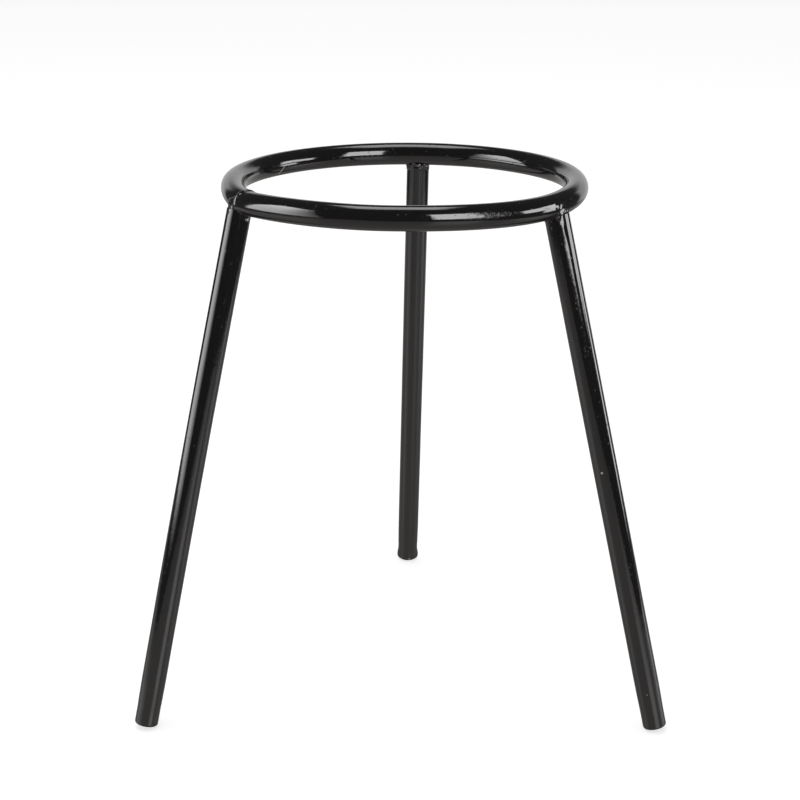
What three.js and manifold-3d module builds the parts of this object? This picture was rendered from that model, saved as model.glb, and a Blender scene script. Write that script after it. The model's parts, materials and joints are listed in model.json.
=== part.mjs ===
// A laboratory tripod stand. A ring of round steel bar lies level on three straight bar legs that splay
// outwards. Each leg is cut square, butted under the ring and held by two weld runs, one outside and one
// inside the ring. The ring itself is one bent bar, closed by a butt weld just above the left leg.
// The whole stand is rigid and is coated in black enamel.
//
// Millimetres, +Z up. The bench is z = 0. -Y is the front, between the left and the right leg, and the
// back leg is on +Y. The origin is on the bench, under the middle of the stand's own box.

import * as THREE from "three";
import { mergeVertices } from "three/addons/utils/BufferGeometryUtils.js";
import Module from "manifold-3d";

// Driving dimensions
const RING_MEAN_DIAMETER = 92.5;
const RING_BAR_DIAMETER = 6.5;
const RING_CENTRE_HEIGHT = 143.45;
const LEG_BAR_DIAMETER = 6.4;

// Where each leg's centreline meets the ring's centreline and where it meets the bench, about the ring's
// axis. The stand is jigged and welded by hand, so the three legs differ a little.
const LEGS = [
  { name: "left", topAzimuth: 203.5, footAzimuth: 208.3, footRadius: 80.8 },
  { name: "right", topAzimuth: 326.0, footAzimuth: 330.2, footRadius: 79.2 },
  { name: "back", topAzimuth: 85.0, footAzimuth: 89.3, footRadius: 80.1 },
];

// Small features
const FOOT_EDGE = 0.5; // enamel rounds the sheared edge of each foot by this much
const SEAM_AZIMUTH = 206.0; // the ring's butt weld
const SEAM_ROOT_GAP = 1.4; // between the two ends of the ring's bar
const SEAM_SINK = 0.15; // the butt weld lies this far under the bar's surface
const WELD_TOE = 0.5; // a weld run's edges stand this far out of the leg
const WELD_CROWN = 1.3; // and its middle this far
const WELD_TOP = 1.6; // a weld run starts this far below the ring's centreline
const WELD_END = 6.2; // and ends this far below it, both measured down the leg
const WELD_WIDTH = 7.0; // along the ring
const GAP = 0.3; // clearance left between pieces that touch

// Fineness of the round surfaces
const BAR_SIDES = 16;
const RING_STEPS = 80;
const WELD_SIDES = 20;
const WELD_STEPS = 6;

const RING_RADIUS = RING_MEAN_DIAMETER / 2;
const RING_BAR_RADIUS = RING_BAR_DIAMETER / 2;
const LEG_BAR_RADIUS = LEG_BAR_DIAMETER / 2;

const wasm = await Module();
wasm.setup();

const enamel = (name) =>
  new THREE.MeshStandardMaterial({ name, color: 0x17171a, roughness: 0.18, metalness: 0.0 });

// The corner radius of a polygon whose flats lie at the given radius, so that a bar's flats are at its
// true radius.
function cornerRadius(radius, sides) {
  return radius / Math.cos(Math.PI / sides);
}

function pointAt(radius, azimuth, z) {
  const angle = THREE.MathUtils.degToRad(azimuth);
  return new THREE.Vector3(radius * Math.cos(angle), radius * Math.sin(angle), z);
}

function tangentAt(azimuth) {
  const angle = THREE.MathUtils.degToRad(azimuth);
  return new THREE.Vector3(-Math.sin(angle), Math.cos(angle), 0);
}

// Solids for joining and cutting
function toSolid(geometry) {
  const bare = geometry.index ? geometry.clone() : geometry.toNonIndexed();
  bare.deleteAttribute("normal");
  bare.deleteAttribute("uv");
  const merged = mergeVertices(bare);
  const mesh = new wasm.Mesh({
    numProp: 3,
    vertProperties: new Float32Array(merged.attributes.position.array),
    triVerts: new Uint32Array(merged.index.array),
  });
  return new wasm.Manifold(mesh);
}

function toGeometry(solid) {
  const mesh = solid.getMesh();
  const geometry = new THREE.BufferGeometry();
  geometry.setAttribute("position", new THREE.BufferAttribute(mesh.vertProperties, 3));
  geometry.setIndex(new THREE.BufferAttribute(mesh.triVerts, 1));
  geometry.computeVertexNormals();
  return geometry;
}

// The open circle that the ring's bar follows, from one side of the butt weld round to the other.
class RingLine extends THREE.Curve {
  getPoint(t, target = new THREE.Vector3()) {
    const halfGap = THREE.MathUtils.radToDeg(SEAM_ROOT_GAP / 2 / RING_RADIUS);
    const start = SEAM_AZIMUTH + halfGap;
    const sweep = 360 - 2 * halfGap;
    return target.copy(pointAt(RING_RADIUS, start + t * sweep, 0));
  }
}

// A round bar's section with a flat facet at the top, the bottom and both sides.
function barSection(radius) {
  const section = new THREE.Shape();
  const corner = cornerRadius(radius, BAR_SIDES);
  for (let side = 0; side < BAR_SIDES; side += 1) {
    const angle = ((side + 0.5) * 2 * Math.PI) / BAR_SIDES;
    const x = corner * Math.cos(angle);
    const y = corner * Math.sin(angle);
    if (side === 0) section.moveTo(x, y);
    else section.lineTo(x, y);
  }
  section.closePath();
  return section;
}

function makeRing() {
  const geometry = new THREE.ExtrudeGeometry(barSection(RING_BAR_RADIUS), {
    steps: RING_STEPS,
    extrudePath: new RingLine(),
  });
  const ring = new THREE.Mesh(geometry, enamel("ring_enamel"));
  ring.name = "ring";
  ring.position.z = RING_CENTRE_HEIGHT;
  return ring;
}

// The butt weld is a thin disc between the bar's two ends.
function makeSeamWeld() {
  const radius = RING_BAR_RADIUS - SEAM_SINK;
  const thickness = SEAM_ROOT_GAP - 2 * GAP;
  const geometry = new THREE.CylinderGeometry(radius, radius, thickness, BAR_SIDES);
  const weld = new THREE.Mesh(geometry, enamel("weld_enamel"));
  weld.name = "ring_seam_weld";
  weld.position.copy(pointAt(RING_RADIUS, SEAM_AZIMUTH, RING_CENTRE_HEIGHT));
  weld.quaternion.setFromUnitVectors(new THREE.Vector3(0, 1, 0), tangentAt(SEAM_AZIMUTH));
  return weld;
}

// Each leg has a group of its own at the point where its centreline meets the ring's. In that group +Y runs
// down the leg, +Z along the ring and +X out of the ring.
function makeJoint(leg) {
  const top = pointAt(RING_RADIUS, leg.topAzimuth, RING_CENTRE_HEIGHT);
  const foot = pointAt(leg.footRadius, leg.footAzimuth, 0);
  const down = foot.clone().sub(top).normalize();
  const outward = down.clone().cross(tangentAt(leg.topAzimuth)).normalize();
  const along = outward.clone().cross(down);
  const joint = new THREE.Group();
  joint.position.copy(top);
  joint.quaternion.setFromRotationMatrix(new THREE.Matrix4().makeBasis(outward, down, along));
  joint.updateMatrixWorld(true);
  return joint;
}

// The distance down the leg at which the lowest point of its square-cut end touches the bench.
function legEnd(joint) {
  const down = new THREE.Vector3(0, 1, 0).applyQuaternion(joint.quaternion);
  const lean = Math.hypot(down.x, down.y);
  return (joint.position.z - (LEG_BAR_RADIUS - FOOT_EDGE) * lean) / -down.z;
}

function makeLeg(leg, joint) {
  const start = RING_BAR_RADIUS + GAP;
  const end = legEnd(joint);
  const radius = cornerRadius(LEG_BAR_RADIUS, BAR_SIDES);
  const profile = [
    new THREE.Vector2(0, start),
    new THREE.Vector2(radius, start),
    new THREE.Vector2(radius, end - FOOT_EDGE),
    new THREE.Vector2(radius - FOOT_EDGE, end),
    new THREE.Vector2(0, end),
  ];
  const mesh = new THREE.Mesh(new THREE.LatheGeometry(profile, BAR_SIDES), enamel("leg_enamel"));
  mesh.name = `leg_${leg.name}`;
  return mesh;
}

// The space round the ring that a weld run keeps clear of, in the joint's own frame.
function ringClearance(joint) {
  const tube = cornerRadius(RING_BAR_RADIUS + GAP, BAR_SIDES);
  const geometry = new THREE.TorusGeometry(RING_RADIUS, tube, BAR_SIDES, RING_STEPS);
  geometry.translate(0, 0, RING_CENTRE_HEIGHT);
  geometry.applyMatrix4(joint.matrixWorld.clone().invert());
  return toSolid(geometry);
}

// The space round the leg that a weld run keeps clear of, from just above its top face downwards.
function legClearance() {
  const radius = cornerRadius(LEG_BAR_RADIUS + GAP, BAR_SIDES);
  const length = 2 * WELD_END;
  const geometry = new THREE.CylinderGeometry(radius, radius, length, BAR_SIDES);
  geometry.translate(0, RING_BAR_RADIUS + length / 2, 0);
  return toSolid(geometry);
}

// The weld metal of both runs as one lump round the top of the leg, before the leg and the ring are taken out
// of it: thin at its upper and lower edges, crowned between them, and no wider along the ring than the leg.
function weldLump() {
  const profile = [new THREE.Vector2(0, WELD_TOP)];
  for (let step = 0; step <= WELD_STEPS; step += 1) {
    const t = step / WELD_STEPS;
    const proud = WELD_TOE + (WELD_CROWN - WELD_TOE) * Math.sin(Math.PI * t);
    profile.push(new THREE.Vector2(LEG_BAR_RADIUS + proud, WELD_TOP + (WELD_END - WELD_TOP) * t));
  }
  profile.push(new THREE.Vector2(0, WELD_END));
  const geometry = new THREE.LatheGeometry(profile, WELD_SIDES);
  geometry.scale(1, 1, WELD_WIDTH / 2 / (LEG_BAR_RADIUS + WELD_CROWN));
  return toSolid(geometry);
}

// One weld run is the part of that lump on one side of the ring: side is +1 outside and -1 inside.
function makeWeldRun(leg, joint, side) {
  const size = 4 * WELD_END;
  const half = new THREE.BoxGeometry(size, size, size);
  half.translate(side * (size / 2 + GAP / 2), 0, 0);
  const solid = weldLump()
    .subtract(ringClearance(joint))
    .subtract(legClearance())
    .intersect(toSolid(half));
  const mesh = new THREE.Mesh(toGeometry(solid), enamel("weld_enamel"));
  mesh.name = `weld_${leg.name}_${side > 0 ? "outer" : "inner"}`;
  return mesh;
}

const stand = new THREE.Group();
stand.add(makeRing(), makeSeamWeld());
for (const leg of LEGS) {
  const joint = makeJoint(leg);
  joint.add(makeLeg(leg, joint), makeWeldRun(leg, joint, 1), makeWeldRun(leg, joint, -1));
  stand.add(joint);
}

// The origin goes on the bench, under the middle of the stand's box.
const box = new THREE.Box3().setFromObject(stand, true);
const middle = box.getCenter(new THREE.Vector3());
stand.position.set(-middle.x, -middle.y, -box.min.z);
stand.updateMatrixWorld(true);

export default stand;
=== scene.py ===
"""Looks of a laboratory tripod stand: gloss black enamel over welded steel bar, on a pale bench.

Shapes are worked out in millimetres and become metres when a mesh or a studio object is made.
The stand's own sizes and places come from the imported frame.
"""
import json
import math

import bpy
import numpy as np
from mathutils import Matrix, Vector


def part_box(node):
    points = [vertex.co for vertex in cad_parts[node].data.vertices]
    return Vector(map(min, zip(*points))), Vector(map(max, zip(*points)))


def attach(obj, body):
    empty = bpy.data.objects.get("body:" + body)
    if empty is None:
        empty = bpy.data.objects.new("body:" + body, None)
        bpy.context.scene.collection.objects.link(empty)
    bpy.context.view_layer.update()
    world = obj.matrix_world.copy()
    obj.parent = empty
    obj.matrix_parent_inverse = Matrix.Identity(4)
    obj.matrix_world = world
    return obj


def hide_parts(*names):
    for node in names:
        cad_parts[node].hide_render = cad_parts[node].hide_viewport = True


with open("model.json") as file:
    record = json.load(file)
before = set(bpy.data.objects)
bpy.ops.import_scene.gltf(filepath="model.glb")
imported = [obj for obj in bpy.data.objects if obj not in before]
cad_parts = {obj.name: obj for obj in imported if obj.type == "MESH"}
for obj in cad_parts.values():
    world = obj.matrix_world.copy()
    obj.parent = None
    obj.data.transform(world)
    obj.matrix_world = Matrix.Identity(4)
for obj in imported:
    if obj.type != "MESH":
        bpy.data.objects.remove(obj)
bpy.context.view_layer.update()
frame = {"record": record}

MM = 0.001

# ---------------------------------------------------------------------------------------------------------
# The stand's sizes, read from the frame
# ---------------------------------------------------------------------------------------------------------

ring_low, ring_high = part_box("ring")
RING_CENTRE = np.array((ring_low + ring_high) / 2) / MM
BAR_RADIUS = (ring_high.z - ring_low.z) / 2 / MM
RING_RADIUS = (ring_high.x - ring_low.x) / 2 / MM - BAR_RADIUS
LEG_RADIUS = 3.2
# How far down each leg its square-cut top lies, from the level of the ring's centreline.
LEG_TOPS = {"left": 3.35, "right": 3.1, "back": 3.1}

MOUNTS = {mount["name"]: mount for mount in frame["record"]["mounts"]}
LEG_NAMES = ("left", "right", "back")


def unit(vector):
    return vector / np.linalg.norm(vector, axis=-1, keepdims=True)


class Joint:
    """Where a leg meets the ring. Local points are (out of the ring, down the leg, along the ring), and
    count from where the leg's middle line crosses the level of the ring's centreline."""

    def __init__(self, name):
        mount = MOUNTS["foot_" + name]
        foot = np.array(mount["pos_m"]) / MM
        down = unit(np.array(mount["axis"]))
        self.length = (RING_CENTRE[2] - foot[2]) / -down[2]
        self.top = foot - down * self.length
        self.leg_top = LEG_TOPS[name]
        offset = self.top - RING_CENTRE
        azimuth = math.atan2(offset[1], offset[0])
        tangent = np.array((-math.sin(azimuth), math.cos(azimuth), 0.0))
        out = unit(np.cross(down, tangent))
        self.azimuth = math.degrees(azimuth) % 360
        self.axes = np.stack((out, down, np.cross(out, down)))

    def to_world(self, local):
        return self.top + local @ self.axes

    def to_local(self, world):
        return (world - self.top) @ self.axes.T


JOINTS = {name: Joint(name) for name in LEG_NAMES}

# ---------------------------------------------------------------------------------------------------------
# Small helpers
# ---------------------------------------------------------------------------------------------------------


def smoothstep(low, high, value):
    t = np.clip((value - low) / (high - low), 0.0, 1.0)
    return t * t * (3.0 - 2.0 * t)


# Any large numbers without a common pattern do here. They only have to stay the same.
CELL_MIX = np.array((127.1, 311.7, 74.7))
SEED_MIX = 19.19
SPREAD = 43758.5453


def hash_noise(cells, seed):
    """A repeatable random number from -1 to 1 for each whole-numbered cell."""
    mixed = np.sin(cells @ CELL_MIX + seed * SEED_MIX) * SPREAD
    return 2.0 * (mixed - np.floor(mixed)) - 1.0


def value_noise(points, size, seed=0):
    """Smooth noise from -1 to 1 whose bumps are about size across."""
    scaled = points / size
    base = np.floor(scaled)
    part = scaled - base
    part = part * part * (3.0 - 2.0 * part)
    total = np.zeros(points.shape[:-1])
    for corner in np.ndindex(2, 2, 2):
        offset = np.array(corner)
        weight = np.prod(np.where(offset == 1, part, 1.0 - part), axis=-1)
        total += weight * hash_noise(base + offset, seed)
    return total


def dome(distance, radius):
    """A smooth bump that is 1 at the middle and 0 at the radius."""
    return (1.0 - np.clip(distance / radius, 0.0, 1.0) ** 2) ** 2


def degrees_apart(first, second):
    """The angle between two azimuths, from 0 to 180."""
    return np.abs((first - second + 180.0) % 360.0 - 180.0)


def add_mesh(name, points, faces, material, slot, node, **marks):
    """A smooth-shaded piece that rides on the stand and takes the place of a CAD node.
    The marks are numbers kept at each point for its material to read."""
    mesh = bpy.data.meshes.new(name)
    mesh.from_pydata((points * MM).tolist(), [], faces)
    for mark, values in marks.items():
        mesh.attributes.new(mark, "FLOAT", "POINT").data.foreach_set("value", values.astype(np.float32))
    mesh.polygons.foreach_set("use_smooth", [True] * len(mesh.polygons))
    mesh.materials.append(material)
    piece = bpy.data.objects.new(name, mesh)
    bpy.context.scene.collection.objects.link(piece)
    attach(piece, "root")
    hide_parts(node)
    return piece


def closed_tube(loops):
    """Points and faces of a tube through loops of points, with both its ends closed by a fan. The two middle
    points of the fans come last. Loops that run clockwise, seen from the loops after them, give faces that
    look outwards."""
    rings, sides = loops.shape[:2]
    points = np.concatenate((loops.reshape(-1, loops.shape[2]), loops[[0, -1]].mean(axis=1)))
    first = rings * sides
    last = first + 1
    faces = []
    for j in range(sides):
        k = (j + 1) % sides
        for i in range(0, (rings - 1) * sides, sides):
            faces.append((i + j, i + sides + j, i + sides + k, i + k))
        faces.append((first, j, k))
        faces.append((last, first - sides + k, first - sides + j))
    return points, faces


def closed_sheet(rows, columns, heart):
    """Faces of a sheet of rows and columns of points, closed behind by a fan from its border to the heart."""
    faces = []
    for i in range(rows - 1):
        for j in range(columns - 1):
            a = i * columns + j
            faces.append((a, a + 1, a + columns + 1, a + columns))
    border = list(range(columns))
    border += [i * columns + columns - 1 for i in range(1, rows)]
    border += [(rows - 1) * columns + j for j in range(columns - 2, -1, -1)]
    border += [i * columns for i in range(rows - 2, 0, -1)]
    for a, b in zip(border, border[1:] + border[:1]):
        faces.append((b, a, heart))
    return faces


# ---------------------------------------------------------------------------------------------------------
# Camera and studio
# ---------------------------------------------------------------------------------------------------------

# Places in the studio count from the point on the bench that is under the middle of the ring.
STUDIO_CENTRE = np.array((RING_CENTRE[0], RING_CENTRE[1], 0.0))
CAMERA_PLACE = (0.0, -468.1, 232.5)
CAMERA_LOOKS_DOWN = 17.85  # degrees
CAMERA_ROLL = 0.03
CAMERA_TURN = 0.15

camera_data = bpy.data.cameras.new("camera")
camera_data.sensor_width = 36.0
camera_data.lens = 78.63
camera_data.clip_start = 0.01
camera_data.clip_end = 50.0
camera = bpy.data.objects.new("camera", camera_data)
camera.location = Vector(STUDIO_CENTRE + np.array(CAMERA_PLACE)) * MM
camera.rotation_euler = (
    math.radians(90.0 - CAMERA_LOOKS_DOWN), math.radians(CAMERA_ROLL), math.radians(CAMERA_TURN)
)
bpy.context.scene.collection.objects.link(camera)
bpy.context.scene.camera = camera
bpy.context.scene.view_settings.view_transform = "Standard"


def new_material(name):
    material = bpy.data.materials.new(name)
    material.use_nodes = True
    material.node_tree.nodes.clear()
    return material, material.node_tree


class Nodes:
    """Short ways to add and link shader nodes."""

    def __init__(self, tree):
        self.tree = tree

    def add(self, kind, **settings):
        node = self.tree.nodes.new(kind)
        for key, value in settings.items():
            setattr(node, key, value)
        return node

    def fill(self, socket, value):
        if isinstance(value, bpy.types.NodeSocket):
            self.tree.links.new(value, socket)
        else:
            socket.default_value = value

    def math(self, operation, first, second=0.0, third=0.0, clamp=False):
        node = self.add("ShaderNodeMath", operation=operation, use_clamp=clamp)
        for socket, value in zip(node.inputs, (first, second, third)):
            self.fill(socket, value)
        return node.outputs[0]

    def smooth(self, value, low, high, to_low=0.0, to_high=1.0):
        node = self.add("ShaderNodeMapRange", interpolation_type="SMOOTHSTEP")
        for socket, setting in zip(node.inputs, (value, low, high, to_low, to_high)):
            self.fill(socket, setting)
        return node.outputs[0]

    def noise(self, where, size_mm, detail=2.0, roughness=0.5, offset=0.0):
        node = self.add("ShaderNodeTexNoise", noise_dimensions="4D")
        self.fill(node.inputs["Vector"], where)
        node.inputs["W"].default_value = offset
        node.inputs["Scale"].default_value = 1.0 / (size_mm * MM)
        node.inputs["Detail"].default_value = detail
        node.inputs["Roughness"].default_value = roughness
        return node.outputs["Fac"]

    def mix_colour(self, factor, first, second):
        node = self.add("ShaderNodeMix", data_type="RGBA")
        self.fill(node.inputs["Factor"], factor)
        self.fill(node.inputs["A"], first)
        self.fill(node.inputs["B"], second)
        return node.outputs["Result"]


def glow_material(name, brightness, tint, half_size, soft, ramp, sheen):
    """Light from a card, fading out over its soft edge. The ramp is the share of its light that is left at
    its low edge, across and up. Where sheen is a roughness, the card also mirrors the other studio lights."""
    material, tree = new_material(name)
    nodes = Nodes(tree)
    where = nodes.add("ShaderNodeTexCoord").outputs["Object"]
    split = nodes.add("ShaderNodeSeparateXYZ")
    nodes.fill(split.inputs[0], where)
    strength = 1.0
    mask = 1.0
    for axis in (0, 1):
        along = split.outputs[axis]
        reach = half_size[axis] * MM
        edge = soft * MM / 2
        level = nodes.add("ShaderNodeMapRange")
        for socket, setting in zip(level.inputs, (along, -reach, 0.1 * reach, ramp[axis], 1.0)):
            nodes.fill(socket, setting)
        strength = nodes.math("MULTIPLY", level.outputs[0], strength)
        away = nodes.math("ABSOLUTE", along)
        mask = nodes.math("MULTIPLY", nodes.smooth(away, reach - edge, reach + edge, 1.0, 0.0), mask)
    emission = nodes.add("ShaderNodeBsdfPrincipled")
    emission.inputs["Base Color"].default_value = (0.0, 0.0, 0.0, 1.0)
    emission.inputs["Roughness"].default_value = sheen or 1.0
    emission.inputs["Specular IOR Level"].default_value = 0.5 if sheen else 0.0
    nodes.fill(emission.inputs["Emission Color"], (*tint, 1.0))
    nodes.fill(emission.inputs["Emission Strength"], nodes.math("MULTIPLY", strength, brightness))
    mixed = nodes.add("ShaderNodeMixShader")
    nodes.fill(mixed.inputs[0], mask)
    nodes.fill(mixed.inputs[1], nodes.add("ShaderNodeBsdfTransparent").outputs[0])
    nodes.fill(mixed.inputs[2], emission.outputs[0])
    nodes.fill(nodes.add("ShaderNodeOutputMaterial").inputs["Surface"], mixed.outputs[0])
    material.cycles.emission_sampling = "NONE"
    return material


def reflected_only(thing):
    """The enamel mirrors this studio object, but the camera doesn't see it and it lights nothing."""
    thing.visible_camera = False
    thing.visible_diffuse = False
    thing.visible_transmission = False
    thing.visible_volume_scatter = False
    thing.visible_shadow = False


def add_card(
    name, centre, turn, tilt, half_size, brightness, soft, ramp=(1.0, 1.0), tint=(1.0, 1.0, 1.0), sheen=None
):
    """A soft-edged studio light panel. Its face looks along (turn, tilt), in degrees, from its centre. Its
    place, half its width and height, and the width of its soft edge are in mm."""
    margin = soft / 2
    width, height = half_size[0] + margin, half_size[1] + margin
    corners = [(-width, -height, 0), (width, -height, 0), (width, height, 0), (-width, height, 0)]
    mesh = bpy.data.meshes.new(name)
    mesh.from_pydata([Vector(corner) * MM for corner in corners], [], [(0, 1, 2, 3)])
    mesh.materials.append(glow_material(name, brightness, tint, half_size, soft, ramp, sheen))
    card = bpy.data.objects.new(name, mesh)
    psi, tau = math.radians(turn), math.radians(tilt)
    normal = Vector((math.cos(psi) * math.cos(tau), math.sin(psi) * math.cos(tau), math.sin(tau)))
    across = Vector((-math.sin(psi), math.cos(psi), 0.0))
    upward = normal.cross(across)
    turned = Matrix((across, upward, normal)).transposed().to_4x4()
    card.matrix_world = Matrix.Translation(Vector(STUDIO_CENTRE + np.array(centre)) * MM) @ turned
    bpy.context.scene.collection.objects.link(card)
    reflected_only(card)
    return card


WARM = (1.0, 0.97, 0.94)
COOL = (0.99, 0.985, 1.0)

add_card("softbox_left", (-541, -140, 357), 14, 33, (212, 366), 3.9, 45, (0.0, 0.6), COOL)
add_card("softbox_right", (600, -68, 230), 180, 0, (102, 95), 3.7, 40, (1.0, 1.0), COOL)
add_card("softbox_right_end", (600, 98, 168), 180, 0, (82, 172), 3.7, 40, (1.0, 0.8), COOL)
add_card("softbox_front", (372, -573, 445), 120, -3, (195, 295), 3.9, 40, (1.0, 1.0), COOL)
add_card("overhead", (-15, 150, 650), 0, -90, (160, 135), 2.1, 70, (0.8, 1.0), COOL)
add_card("backdrop", (268, 2111, 174), -90, 0, (1720, 760), 0.75, 480)
add_card("bench_glow", (-32, 430, -0.5), -90, 90, (310, 1010), 0.31, 71, (1.0, 0.5), WARM, sheen=0.3)

TENT_RADIUS = 4000.0
TENT_ROWS = 24
TENT_SIDES = 48
TENT_GLOW = (0.045, 0.06)  # on the camera's side and on the far side


def add_tent():
    """A dim room all round, a little darker on the camera's side."""
    tilt = np.linspace(-89.0, 89.0, TENT_ROWS)[:, None]
    turn = np.linspace(0.0, 360.0, TENT_SIDES, endpoint=False)[None, :]
    tilt, turn = np.radians(tilt), np.radians(turn)
    loops = np.stack(
        np.broadcast_arrays(np.cos(tilt) * np.cos(turn), np.cos(tilt) * np.sin(turn), np.sin(tilt)), axis=-1
    )
    points, faces = closed_tube(loops * TENT_RADIUS)
    mesh = bpy.data.meshes.new("tent")
    mesh.from_pydata((points * MM).tolist(), [], faces)
    material, tree = new_material("tent")
    nodes = Nodes(tree)
    split = nodes.add("ShaderNodeSeparateXYZ")
    nodes.fill(split.inputs[0], nodes.add("ShaderNodeTexCoord").outputs["Object"])
    reach = TENT_RADIUS * MM
    emission = nodes.add("ShaderNodeEmission")
    nodes.fill(emission.inputs["Strength"], nodes.smooth(split.outputs[1], -reach, 0.4 * reach, *TENT_GLOW))
    nodes.fill(nodes.add("ShaderNodeOutputMaterial").inputs["Surface"], emission.outputs[0])
    material.cycles.emission_sampling = "NONE"
    mesh.materials.append(material)
    tent = bpy.data.objects.new("tent", mesh)
    bpy.context.scene.collection.objects.link(tent)
    reflected_only(tent)


add_tent()


FLOOR_RADIUS = 8000.0
FLOOR_SIDES = 96
FLOOR_GAP = 0.2  # between the feet and the floor, so that the two don't share a plane


def add_floor():
    """A wide pale bench top. What the enamel mirrors of it is the bench_glow card."""
    turn = np.linspace(0.0, 2 * math.pi, FLOOR_SIDES, endpoint=False)
    rim = np.stack((np.cos(turn), np.sin(turn), np.zeros(FLOOR_SIDES)), axis=-1) * FLOOR_RADIUS * MM
    mesh = bpy.data.meshes.new("floor")
    mesh.from_pydata(rim.tolist(), [], [tuple(range(FLOOR_SIDES))])
    material, tree = new_material("floor")
    nodes = Nodes(tree)
    shader = nodes.add("ShaderNodeBsdfPrincipled")
    shader.inputs["Base Color"].default_value = (0.55, 0.55, 0.55, 1.0)
    shader.inputs["Roughness"].default_value = 0.9
    shader.inputs["Emission Color"].default_value = (1.0, 1.0, 1.0, 1.0)
    shader.inputs["Emission Strength"].default_value = 0.72
    nodes.fill(nodes.add("ShaderNodeOutputMaterial").inputs["Surface"], shader.outputs[0])
    mesh.materials.append(material)
    floor = bpy.data.objects.new("floor", mesh)
    floor.location.z = -FLOOR_GAP * MM
    bpy.context.scene.collection.objects.link(floor)
    floor.visible_glossy = False


add_floor()

world = bpy.data.worlds.new("world")
world.use_nodes = True
background = world.node_tree.nodes["Background"]
background.inputs["Color"].default_value = (1.0, 1.0, 1.0, 1.0)
background.inputs["Strength"].default_value = 0.35
bpy.context.scene.world = world

# A wide lamp overhead, which gives the feet their soft shadows. Its numbers are metres and watts.
key_data = bpy.data.lights.new("key", "AREA")
key_data.shape = "DISK"
key_data.size = 1.4
key_data.energy = 9.0
key = bpy.data.objects.new("key", key_data)
key.location = (-0.2, 0.1, 1.5)
key.visible_glossy = False
bpy.context.scene.collection.objects.link(key)

# ---------------------------------------------------------------------------------------------------------
# Enamel
# ---------------------------------------------------------------------------------------------------------


def near(nodes, marks, centre, radius):
    """A mask that is 1 at a spot on a bar and 0 a radius away. The spot is given by the piece's two marks."""
    square = 0.0
    for mark, middle, reach in zip(marks, centre, radius):
        away = nodes.math("DIVIDE", nodes.math("SUBTRACT", mark, middle), reach)
        square = nodes.math("MULTIPLY_ADD", away, away, square)
    return nodes.smooth(square, 1.0, 0.0)


# Sizes in mm of the noises that give the enamel its features.
CLOUD_SIZE = 9.0
GLOSS_SIZE = 0.7
PEEL_SIZE = 1.7
FINE_PEEL_SIZE = 0.5
NIB_SIZE = 0.6
PIT_SIZE = 0.32
CROOK_SIZE = 3.0

ENAMEL_IOR = 2.0
BLACKS = ((0.0044, 0.0037, 0.0038, 1.0), (0.0066, 0.0055, 0.0056, 1.0))
GLOSSY = (0.05, 0.11)
# The pale warm colour of the thin line that crosses the ring's bar on its inner side.
PALE_LINE_COLOUR = (0.62, 0.52, 0.44)
RUST = (0.16, 0.05, 0.02)
PRIMER = (0.30, 0.27, 0.24)


def pale_line_mask(nodes, where, places, start, end, width):
    """A mask that is 1 on a slightly crooked line between two spots, each given as (round, along)."""
    slope = (end[1] - start[1]) / (end[0] - start[0])
    line = nodes.math("MULTIPLY_ADD", nodes.math("SUBTRACT", places[0], start[0]), slope, start[1])
    bow = nodes.noise(where, CROOK_SIZE, 1.0, offset=7.0)
    line = nodes.math("MULTIPLY_ADD", nodes.math("SUBTRACT", bow, 0.5), 6.0 * width, line)
    away = nodes.math("ABSOLUTE", nodes.math("SUBTRACT", places[1], line))
    mask = nodes.smooth(away, width, 0.4 * width)
    mask = nodes.math("MULTIPLY", mask, nodes.smooth(places[0], start[0], start[0] + 4.0))
    return nodes.math("MULTIPLY", mask, nodes.smooth(places[0], end[0], end[0] - 4.0))


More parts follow.
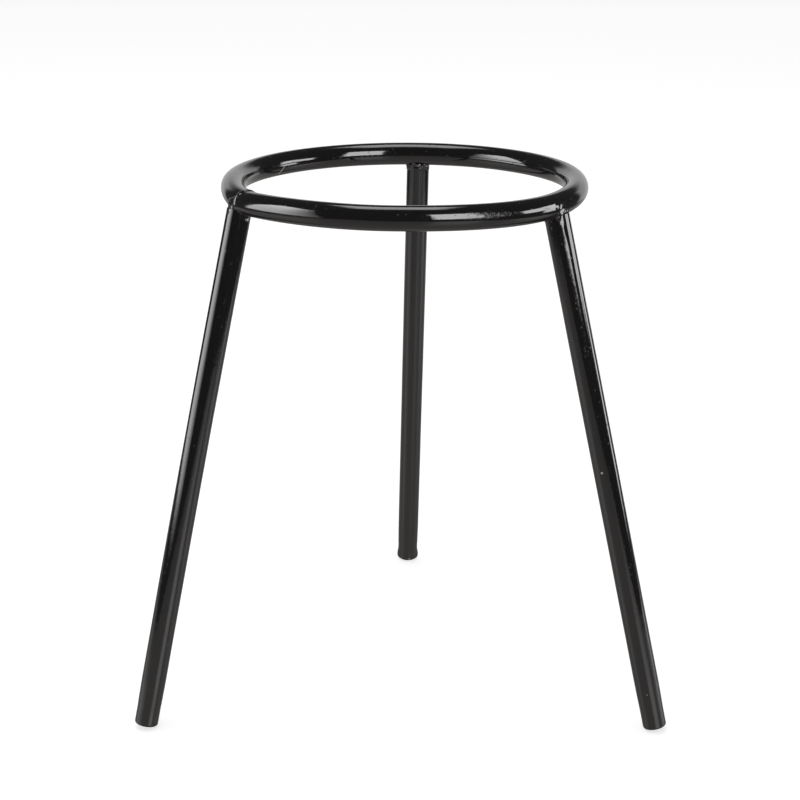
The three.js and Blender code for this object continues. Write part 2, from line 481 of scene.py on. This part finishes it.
def enamel(name, peel, grit, roughness, marks=(), chips=(), mottle=None, pale_line=None):
    """Gloss black enamel. Peel is its orange-peel relief in mm, and grit is how much dust is under it.
    Chips, a mottled patch and a thin pale line lie where the piece's marks (round, along) say."""
    material, tree = new_material(name)
    nodes = Nodes(tree)
    where = nodes.add("ShaderNodeTexCoord").outputs["Object"]
    places = [nodes.add("ShaderNodeAttribute", attribute_name=mark).outputs["Fac"] for mark in marks]
    cloud = nodes.noise(where, CLOUD_SIZE, 3.0, offset=1.0)
    colour = nodes.mix_colour(cloud, *BLACKS)
    gloss = nodes.smooth(nodes.noise(where, GLOSS_SIZE, 2.0, offset=2.0), 0.3, 0.75, *roughness)
    wave = nodes.math("MULTIPLY", nodes.noise(where, PEEL_SIZE, 1.0, offset=3.0), peel)
    ripple = nodes.noise(where, FINE_PEEL_SIZE, 1.0, offset=4.0)
    height = nodes.math("MULTIPLY_ADD", ripple, 0.22 * peel, wave)
    nibs = nodes.smooth(nodes.noise(where, NIB_SIZE, 0.0, offset=5.0), 0.76, 0.82, 0.0, 0.02 * grit)
    height = nodes.math("ADD", height, nibs)
    if mottle:
        patch = near(nodes, places, *mottle)
        pits = nodes.smooth(nodes.noise(where, PIT_SIZE, 1.0, offset=6.0), 0.5, 0.72, 0.0, 0.028)
        height = nodes.math("MULTIPLY_ADD", patch, pits, height)
        gloss = nodes.math("MULTIPLY_ADD", patch, 0.04, gloss)
    # A thin pale warm line across the bar, rougher and a little sunken, between two (round, along) spots.
    if pale_line:
        on_line = pale_line_mask(nodes, where, places, *pale_line)
        colour = nodes.mix_colour(on_line, colour, (*PALE_LINE_COLOUR, 1.0))
        gloss = nodes.math("MULTIPLY_ADD", on_line, 0.4, gloss)
        height = nodes.math("MULTIPLY_ADD", on_line, -0.03, height)
    for round_at, along_at, radius, paint in chips:
        chip = near(nodes, places, (round_at, along_at), (math.degrees(radius / LEG_RADIUS), radius))
        chip = nodes.smooth(chip, 0.2, 0.6)
        colour = nodes.mix_colour(chip, colour, (*paint, 1.0))
        gloss = nodes.math("MULTIPLY_ADD", chip, 0.35, gloss)
        height = nodes.math("MULTIPLY_ADD", chip, -0.06, height)
    shader = nodes.add("ShaderNodeBsdfPrincipled")
    shader.inputs["IOR"].default_value = ENAMEL_IOR
    nodes.fill(shader.inputs["Base Color"], colour)
    nodes.fill(shader.inputs["Roughness"], gloss)
    bump = nodes.add("ShaderNodeBump")
    bump.inputs["Strength"].default_value = 1.0
    bump.inputs["Distance"].default_value = MM
    nodes.fill(bump.inputs["Height"], height)
    nodes.fill(shader.inputs["Normal"], bump.outputs[0])
    nodes.fill(nodes.add("ShaderNodeOutputMaterial").inputs["Surface"], shader.outputs[0])
    return material


# ---------------------------------------------------------------------------------------------------------
# The ring's bar and its butt weld
# ---------------------------------------------------------------------------------------------------------

BAR_SIDES = 128
RING_LOOPS = 1050
SLIM = 0.02  # a bar's radius is this much less than its CAD solid's, to leave room for the relief
RIM = 0.3  # rounding of the ring bar's cut ends under the enamel
LIP = 0.17  # height of the lip of weld metal along each cut end
DEGREE = RING_RADIUS * math.pi / 180  # length of the ring's centreline for one degree of azimuth

# The ring's bar starts at the seam, runs round the front, and ends at the seam again. Its azimuth is counted
# on from the start without a jump, so the front is below 0 and the back is above it.
BAR_START = -151.0
BAR_END = 207.0
SPREAD_AT = 207.0
SPREAD_REACH = 24.0
RING_SPREAD = 0.35

# The relief of the mottled patch, and the small lump with its pit, at the front right. Each place is an
# azimuth in degrees and an angle round the bar's section, from its outer side. That angle is in degrees for
# the patch, and in radians for the lump and the pit.
PATCH_AT = (-62.0, 14.0)
PATCH_REACH = (9.0, 38.0)
LUMP_AT = (-38.0, 0.15)
PIT_AT = (-36.9, 0.05)

RING_ENAMEL = enamel(
    "ring_enamel",
    peel=0.014,
    grit=1.0,
    roughness=GLOSSY,
    marks=("round", "along"),
    mottle=((14.0, -65.0), (30.0, 11.0)),
    # The thin pale line across the lower inner side of the bar, near the back left.
    pale_line=((168.0, 142.4), (222.0, 144.8), 0.22),
)


FINE_STEPS = 4001


def evenly_by(density, start, end, samples):
    """Positions from start to end, closer together where the density is higher."""
    fine = np.linspace(start, end, FINE_STEPS)
    total = np.concatenate(([0.0], np.cumsum(density(fine[:-1]))))
    return np.interp(np.linspace(0.0, total[-1], samples), total, fine)


def ring_sag(azimuth):
    """How far the hand-made ring hangs below its nominal level: most at the welds of the two front legs."""
    left = 1.0 * np.clip((-110.0 - azimuth) / 42.0, 0.0, 1.2) ** 2
    left_end = 0.75 * smoothstep(178.0, 207.0, azimuth)
    right = 0.9 * smoothstep(-92.0, -34.0, azimuth)
    return left + left_end + right * (1.0 - smoothstep(-40.0, 22.0, azimuth))


def ring_spread(azimuth):
    """How far the ring's bar lies outside its nominal circle: only at the seam."""
    return RING_SPREAD * dome(degrees_apart(azimuth, SPREAD_AT), SPREAD_REACH)


def signed_degrees(section):
    """The same angle from -180 to 180 degrees: 0 on the ring's outer side and 90 on top."""
    return np.degrees(np.arctan2(np.sin(section), np.cos(section)))


def front_end(section):
    """Azimuth of the bar's first cut end, at each angle round the bar's section."""
    turn = signed_degrees(section)
    return 207.4 + 1.9 * smoothstep(34.0, 66.0, turn) + 2.6 * smoothstep(-8.0, -60.0, turn) - 360.0


def back_end(section):
    """Azimuth of the bar's other end. It meets the first on top and leaves a wedge on the outer side."""
    turn = signed_degrees(section)
    wedge = smoothstep(36.0, 0.0, turn) * smoothstep(-130.0, -60.0, turn)
    return 209.2 + 0.6 * smoothstep(50.0, 75.0, turn) - 4.9 * wedge


def ring_point(azimuth, section, radius, sag):
    """Points at a radius round the bar's middle line, which hangs by the sag."""
    turn = np.radians(azimuth)
    reach = RING_RADIUS + ring_spread(azimuth) + radius * np.cos(section)
    level = radius * np.sin(section) - sag
    offsets = np.stack((reach * np.cos(turn), reach * np.sin(turn), level + 0.0 * turn), axis=-1)
    return RING_CENTRE + offsets


def ring_density(azimuth):
    """How close together the bar's loops lie: closest at the welds, and close at the mottled patch."""
    total = 0.30 + 0.8 * dome(np.abs(azimuth - PATCH_AT[0]), 16.0)
    for joint in JOINTS.values():
        total += 1.2 * smoothstep(14.0, 8.0, degrees_apart(azimuth, joint.azimuth))
    return total


def make_ring():
    section = np.linspace(0.0, 2 * math.pi, BAR_SIDES, endpoint=False)
    start = front_end(section)
    end = back_end(section)
    along = evenly_by(ring_density, BAR_START, BAR_END, RING_LOOPS)
    share = (along - along[0]) / (along[-1] - along[0])

    def loop(azimuth, inset):
        """One loop round the bar, whose points each carry their two marks."""
        sag = ring_sag(azimuth)
        points = ring_point(azimuth, section, BAR_RADIUS - SLIM, sag)
        outward = unit(points - ring_point(azimuth, section, 0.0, sag))
        relief = 0.020 * value_noise(points, 11.0, 1) + 0.007 * value_noise(points, 3.0, 2)
        from_patch = np.hypot(
            (azimuth - PATCH_AT[0]) / PATCH_REACH[0], (signed_degrees(section) - PATCH_AT[1]) / PATCH_REACH[1]
        )
        mottle = 0.020 * value_noise(points, 0.9, 3) + 0.008 * value_noise(points, 0.45, 4)
        relief -= dome(from_patch, 1.0) * mottle
        lump = dome(np.hypot((azimuth - LUMP_AT[0]) * DEGREE, (section - LUMP_AT[1]) * BAR_RADIUS), 1.3)
        pit = dome(np.hypot((azimuth - PIT_AT[0]) * DEGREE, (section - PIT_AT[1]) * BAR_RADIUS), 0.8)
        relief += 0.16 * lump - 0.10 * pit
        for from_end in ((azimuth - start) * DEGREE, (end - azimuth) * DEGREE):
            relief += LIP * np.exp(-(((from_end - 0.5) / 0.3) ** 2))
        points = points + outward * (relief - inset)[..., None]
        return np.concatenate((points, np.degrees(section)[:, None], azimuth[:, None]), axis=-1)

    def rim(cut, into, turns):
        """Loops round the edge of a cut end. Into is 1 where the bar runs on from it and -1 where it ends."""
        return [
            loop(cut + into * RIM * (1 - math.cos(turn)) / DEGREE, RIM * (1 - math.sin(turn)) + 0.0 * section)
            for turn in turns
        ]

    rounding = np.linspace(0.0, math.pi / 2, 7)
    low = start + RIM / DEGREE
    high = end - RIM / DEGREE
    loops = rim(start, 1, rounding)
    loops += [loop(low + (high - low) * part, 0.0 * section) for part in share[1:-1]]
    loops += rim(end, -1, rounding[::-1])
    points, faces = closed_tube(np.array(loops))
    marks = {"round": points[:, 3], "along": points[:, 4]}
    add_mesh("ring_bar", points[:, :3], faces, RING_ENAMEL, "ring_enamel", "ring", **marks)


make_ring()

WELD_ENAMEL = enamel("weld_enamel", peel=0.035, grit=2.0, roughness=(0.07, 0.18))


SEAM_SIDES = 72
SEAM_LOOPS = 72
SEAM_START = 202.6
SEAM_END = 211.4
SEAM_RADIUS = 3.1


def make_seam_weld():
    """A lumpy core of weld metal inside the two cut ends. It is thinner where the wedge lies open."""
    section = np.linspace(0.0, 2 * math.pi, SEAM_SIDES, endpoint=False)
    loops = []
    for azimuth in np.linspace(SEAM_START, SEAM_END, SEAM_LOOPS):
        everywhere = azimuth + 0.0 * section
        plain = ring_point(everywhere, section, 1.0, 0.0)
        turn = signed_degrees(section)
        open_side = smoothstep(80.0, 50.0, turn) * smoothstep(-150.0, -90.0, turn)
        lumps = (0.08 + 0.15 * open_side) * value_noise(plain, 0.5, 7)
        radius = SEAM_RADIUS - 0.45 * open_side + lumps
        sag = ring_sag(everywhere) + 0.25 * smoothstep(206.0, 209.0, azimuth)
        loops.append(ring_point(everywhere, section, radius, sag))
    points, faces = closed_tube(np.array(loops))
    add_mesh("ring_seam_bead", points, faces, WELD_ENAMEL, "weld_enamel", "ring_seam_weld")


make_seam_weld()

# ---------------------------------------------------------------------------------------------------------
# Legs
# ---------------------------------------------------------------------------------------------------------

LEG_SIDES = 120
TOP_EDGE = 0.3  # rounding of the square-cut top
FOOT_EDGE = 0.6  # rounding of the enamelled foot
FOOT_DISH = 0.05  # how far the foot's end face is hollowed
TOP_RADII = (0.6, 1.6, 2.5)  # of the loops across the top's end face, outwards
FOOT_RADII = (2.3, 1.8, 1.2, 0.5)  # of the loops across the foot's end face, inwards
WELD_STRETCH = 14.0  # a leg's loops are close together down to here
FOOT_STRETCH = 4.0  # and in this length above the foot
WELD_LOOPS = 70
MIDDLE_LOOPS = 180
FOOT_LOOPS = 22
COAT = 0.11  # how much fuller the bar is away from its foot

# Chips in a leg's enamel: degrees round it, mm down it, radius in mm, and the colour below.
CHIPS = {
    "left": (),
    "right": ((-79.0, 72.4, 0.45, PRIMER), (-68.0, 136.0, 0.3, RUST)),
    "back": ((-165.0, 146.0, 0.35, PRIMER),),
}
# Runs of enamel down a leg: degrees round it, where it starts and fades, its height and half width, in mm.
RUNS = {"left": (), "right": ((-42.0, 5.0, 12.0, 0.04, 0.24),), "back": ()}
DRAWN = {"left": 0.8, "right": 0.6, "back": 0.0}  # how strong the long streaks of the drawn bar are
BOW = {"left": 0.26, "right": 0.0, "back": 0.0}  # how far the middle of each leg bends out of the ring
FLARE = {"left": 0.08, "right": 0.10, "back": 0.34}  # how far each foot's enamel swells to both sides


def make_leg(name, joint, seed):
    material = enamel(
        "leg_" + name + "_enamel",
        peel=0.014,
        grit=1.0,
        roughness=GLOSSY,
        marks=("round", "along"),
        chips=CHIPS[name],
    )
    turn = np.linspace(-math.pi, math.pi, LEG_SIDES, endpoint=False)
    outward = np.stack((np.cos(turn), 0.0 * turn, np.sin(turn)), axis=-1)
    full = LEG_RADIUS - SLIM
    loops = []

    def loop(down, radius):
        """One loop round the leg, whose points each carry their two marks."""
        everywhere = down + 0.0 * turn
        local = outward * radius + np.stack((0.0 * turn, everywhere, 0.0 * turn), axis=-1)
        streaks = value_noise(local * np.array((1.0, 0.02, 1.0)), 1.1, seed + 2)
        wrinkles = value_noise(local * np.array((1.0, 0.5, 1.0)), 1.5, seed + 3)
        relief = 0.018 * value_noise(local, 12.0, seed) + 0.006 * value_noise(local, 3.5, seed + 1)
        relief += 0.007 * DRAWN[name] * streaks
        relief += 0.012 * wrinkles * smoothstep(9.0, 4.0, down)
        end = joint.length - down
        relief += COAT * smoothstep(2.0, 14.0, end)
        relief = np.where(end < 6.0, np.minimum(relief, 0.0), relief)
        uneven = 0.8 + 0.2 * value_noise(local, 1.4, seed + 4)
        relief += FLARE[name] * smoothstep(3.6, 1.2, end) * uneven * np.sin(turn) ** 4
        for run_turn, run_start, run_end, height, half_width in RUNS[name]:
            wander = 0.05 * value_noise(np.array((0.0, down, 0.0)), 5.0, seed + 5)
            arc = (turn - math.radians(run_turn)) * LEG_RADIUS - wander
            fade = smoothstep(run_start, run_start + 1.5, down) * smoothstep(run_end, run_start + 2.0, down)
            relief += height * fade * np.exp(-((arc / half_width) ** 2))
        local = local + outward * (relief * (radius / LEG_RADIUS))[..., None]
        local[:, 0] += BOW[name] * math.sin(math.pi * down / joint.length)
        loops.append(
            np.concatenate((joint.to_world(local), np.degrees(turn)[:, None], everywhere[:, None]), axis=-1)
        )

    for radius in TOP_RADII:
        loop(joint.leg_top, radius)
    for corner in np.linspace(0.0, math.pi / 2, 6)[:-1]:
        loop(joint.leg_top + TOP_EDGE * (1 - math.cos(corner)), full - TOP_EDGE * (1 - math.sin(corner)))
    bottom = joint.length - FOOT_EDGE
    stretches = (
        np.linspace(joint.leg_top + TOP_EDGE, WELD_STRETCH, WELD_LOOPS),
        np.linspace(WELD_STRETCH, bottom - FOOT_STRETCH, MIDDLE_LOOPS)[1:],
        np.linspace(bottom - FOOT_STRETCH, bottom, FOOT_LOOPS)[1:],
    )
    for down in np.concatenate(stretches):
        loop(down, full)
    for corner in np.linspace(0.0, math.pi / 2, 8)[1:]:
        loop(joint.length - FOOT_EDGE * (1 - math.sin(corner)), full - FOOT_EDGE * (1 - math.cos(corner)))
    for radius in FOOT_RADII:
        loop(joint.length - FOOT_DISH, radius)
    points, faces = closed_tube(np.array(loops))
    marks = {"round": points[:, 3], "along": points[:, 4]}
    add_mesh("leg_" + name + "_bar", points[:, :3], faces, material, "leg_enamel", "leg_" + name, **marks)


for number, (name, joint) in enumerate(JOINTS.items()):
    make_leg(name, joint, 20 + 6 * number)

# ---------------------------------------------------------------------------------------------------------
# Weld runs
# ---------------------------------------------------------------------------------------------------------

WELD_HEART = np.array((0.0, 3.3, 0.0))  # rays from here cross the surface of a joint once
UNDER = 0.15  # a weld run's border lies this far under the bars it joins
WELD_HALF_WIDTH = 3.25  # along the ring
SEAM_MIDDLE = 207.5
RUN_ROWS = 170  # round the leg
RUN_COLUMNS = 110  # from the leg's side up to the ring's
DIPS = (30.0, 142.0)  # a ray's angle from straight down the leg, first and last
SIDE_DIP = 91.0  # where a run's upper edge lies at its two sides
RISE = 25.0  # and how many degrees higher at its middle

# For each weld run: where its lower edge lies, as (degrees round the leg from its middle, mm down the leg)
# points; its crown; how strong its lumps are; the height of a sharp ridge along the edge that faces front;
# and its pits, as (degrees round the leg, mm down it, radius, depth).
RUN_SHAPES = {
    "left_outer": dict(
        edge=((-90, 4.2), (-45, 3.8), (45, 3.7), (68, 4.5), (90, 5.5)),
        crown=-0.15,
        lumpy=0.5,
        ridge=0.30,
        pits=((12, 4.5, 0.75, -0.7),),
    ),
    "left_inner": dict(
        edge=((-90, 4.6), (-20, 4.6), (35, 4.8), (60, 6.6), (75, 6.2), (90, 5.5)),
        crown=0.05,
        lumpy=0.7,
        ridge=0.34,
    ),
    "right_outer": dict(
        edge=(
            (-90, 4.9), (-66, 5.4), (-52, 6.7), (-40, 7.2), (-25, 6.2),
            (-10, 5.0), (10, 4.5), (45, 4.2), (90, 4.2),
        ),
        crown=-0.06,
        lumpy=0.8,
        pits=((-35, 4.3, 0.45, 0.5), (-46, 5.1, 0.4, 0.45)),
    ),
    "right_inner": dict(edge=((-90, 4.9), (0, 4.6), (90, 4.2)), crown=0.20, lumpy=1.1),
    "back_outer": dict(edge=((-90, 4.6), (-45, 5.4), (0, 6.0), (45, 5.6), (90, 4.6)), crown=0.25, lumpy=1.0),
    "back_inner": dict(edge=((-90, 4.7), (0, 4.4), (90, 4.7)), crown=0.22, lumpy=1.6),
}

FARTHEST = 12.0  # how far a ray is followed
STRIDE = 0.25
HALVINGS = 14
NO_BAR = 0.3  # the reach of a ray that meets no bar


def bare_reach(joint, rays):
    """How far along each ray from the heart of the joint the bare ring and leg reach. It strides inwards from
    the farthest point until it is inside a bar, and then halves the last stride."""

    def outside(reach):
        local = WELD_HEART + rays * reach[..., None]
        offset = joint.to_world(local) - RING_CENTRE
        azimuth = np.degrees(np.arctan2(offset[..., 1], offset[..., 0])) % 360.0
        sag = ring_sag(np.where(azimuth > SEAM_MIDDLE, azimuth - 360.0, azimuth))
        from_line = np.hypot(offset[..., 0], offset[..., 1]) - RING_RADIUS - ring_spread(azimuth)
        ring = np.hypot(from_line, offset[..., 2] + sag) - (BAR_RADIUS - SLIM)
        leg = np.maximum(
            np.hypot(local[..., 0], local[..., 2]) - (LEG_RADIUS - SLIM), joint.leg_top - local[..., 1]
        )
        return np.minimum(ring, leg) > 0

    shape = rays.shape[:-1]
    found = np.zeros(shape, bool)
    low = np.zeros(shape)
    high = np.full(shape, FARTHEST)
    for step in np.arange(FARTHEST, 0.0, -STRIDE):
        inside = ~outside(np.full(shape, step)) & ~found
        low[inside] = step
        high[inside] = step + STRIDE
        found |= inside
    for _ in range(HALVINGS):
        middle = (low + high) / 2
        out = outside(middle)
        high = np.where(out, middle, high)
        low = np.where(out, low, middle)
    return np.where(found, low, NO_BAR)


def make_weld_run(name, joint, side, seed, edge, crown, lumpy, ridge=0.0, pits=()):
    """A fillet between the ring and a leg, on the outer side of the ring (1) or the inner side (-1)."""
    turn = np.radians(np.linspace(-90.0, 90.0, RUN_ROWS))[:, None]
    dip = np.radians(np.linspace(*DIPS, RUN_COLUMNS))[None, :]
    turn, dip = np.broadcast_arrays(turn, dip)

    def rays_at(angle):
        return np.stack(
            (side * np.cos(turn) * np.sin(angle), np.cos(angle), np.sin(turn) * np.sin(angle)), axis=-1
        )

    def capped(angle, reach):
        """The reach, cut off at the width of the weld along the ring."""
        return np.minimum(reach, WELD_HALF_WIDTH / np.maximum(np.abs(np.sin(turn)) * np.sin(angle), 0.01))

    def bare_at(angle):
        """Reach to the bare bars, and its place in the upright plane through the ray."""
        reach = capped(angle[:, :1], bare_reach(joint, rays_at(angle)[:, :1]))
        return np.stack((reach * np.sin(angle[:, :1]), reach * np.cos(angle[:, :1])), axis=-1)

    rays = rays_at(dip)
    bare = capped(dip, bare_reach(joint, rays))
    face = np.abs(np.cos(turn))
    edge_turns, edge_levels = zip(*edge)
    wander = value_noise(np.stack((turn * 4.0, 0.0 * dip, 0.0 * dip + seed), axis=-1), 0.9, seed)
    lower = np.interp(np.degrees(turn), edge_turns, edge_levels) + 0.22 * lumpy * wander
    lower = np.arctan2(LEG_RADIUS, lower - WELD_HEART[1])
    upper = np.radians(SIDE_DIP + RISE * face ** 1.3 + 2.5 * wander)
    t = (dip - lower) / (upper - lower)
    low_point = bare_at(lower)
    chord = bare_at(upper) - low_point
    normal = np.stack((chord[..., 1], -chord[..., 0]), axis=-1)
    along = np.sin(dip) * normal[..., 0] + np.cos(dip) * normal[..., 1]
    fill = (low_point * normal).sum(-1) / np.where(np.abs(along) < 1e-6, 1e-6, along)
    inside = np.clip(t, 0.0, 1.0)
    crest = ridge * smoothstep(45.0, 65.0, np.degrees(turn)) * np.exp(-(((inside - 0.16) / 0.075) ** 2))
    bulge = crown * np.sin(math.pi * inside) ** 0.5 + crest
    where = WELD_HEART + rays * fill[..., None]
    lumps = 0.11 * value_noise(where, 0.95, seed + 1) + 0.09 * value_noise(where, 0.45, seed + 2)
    lumps = lumpy * lumps
    weld = capped(dip, fill + bulge) + lumps * smoothstep(0.0, 0.2, inside) * smoothstep(1.0, 0.85, inside)
    outside = np.maximum(-t, t - 1.0)
    weld = np.where(outside > 0, bare - 4.0 * outside, weld)
    reach = np.maximum(weld, bare - UNDER)
    arc = np.degrees(turn)
    level = (WELD_HEART + rays * reach[..., None])[..., 1]
    for pit_turn, pit_level, radius, depth in pits:
        away = np.hypot(np.radians(arc - pit_turn) * LEG_RADIUS, level - pit_level)
        reach = reach - depth * dome(away, radius)
    local = WELD_HEART + rays * reach[..., None]
    points = joint.to_world(local).reshape(-1, 3)
    faces = closed_sheet(*reach.shape, heart=len(points))
    points = np.concatenate((points, joint.to_world(WELD_HEART + np.array((side * 0.2, 0.0, 0.0)))[None]))
    if side > 0:
        faces = [tuple(reversed(corners)) for corners in faces]
    add_mesh("weld_" + name + "_bead", points, faces, WELD_ENAMEL, "weld_enamel", "weld_" + name)


for number, (name, joint) in enumerate(JOINTS.items()):
    for place, side, first_seed in (("_outer", 1, 40), ("_inner", -1, 43)):
        make_weld_run(name + place, joint, side, first_seed + 7 * number, **RUN_SHAPES[name + place])
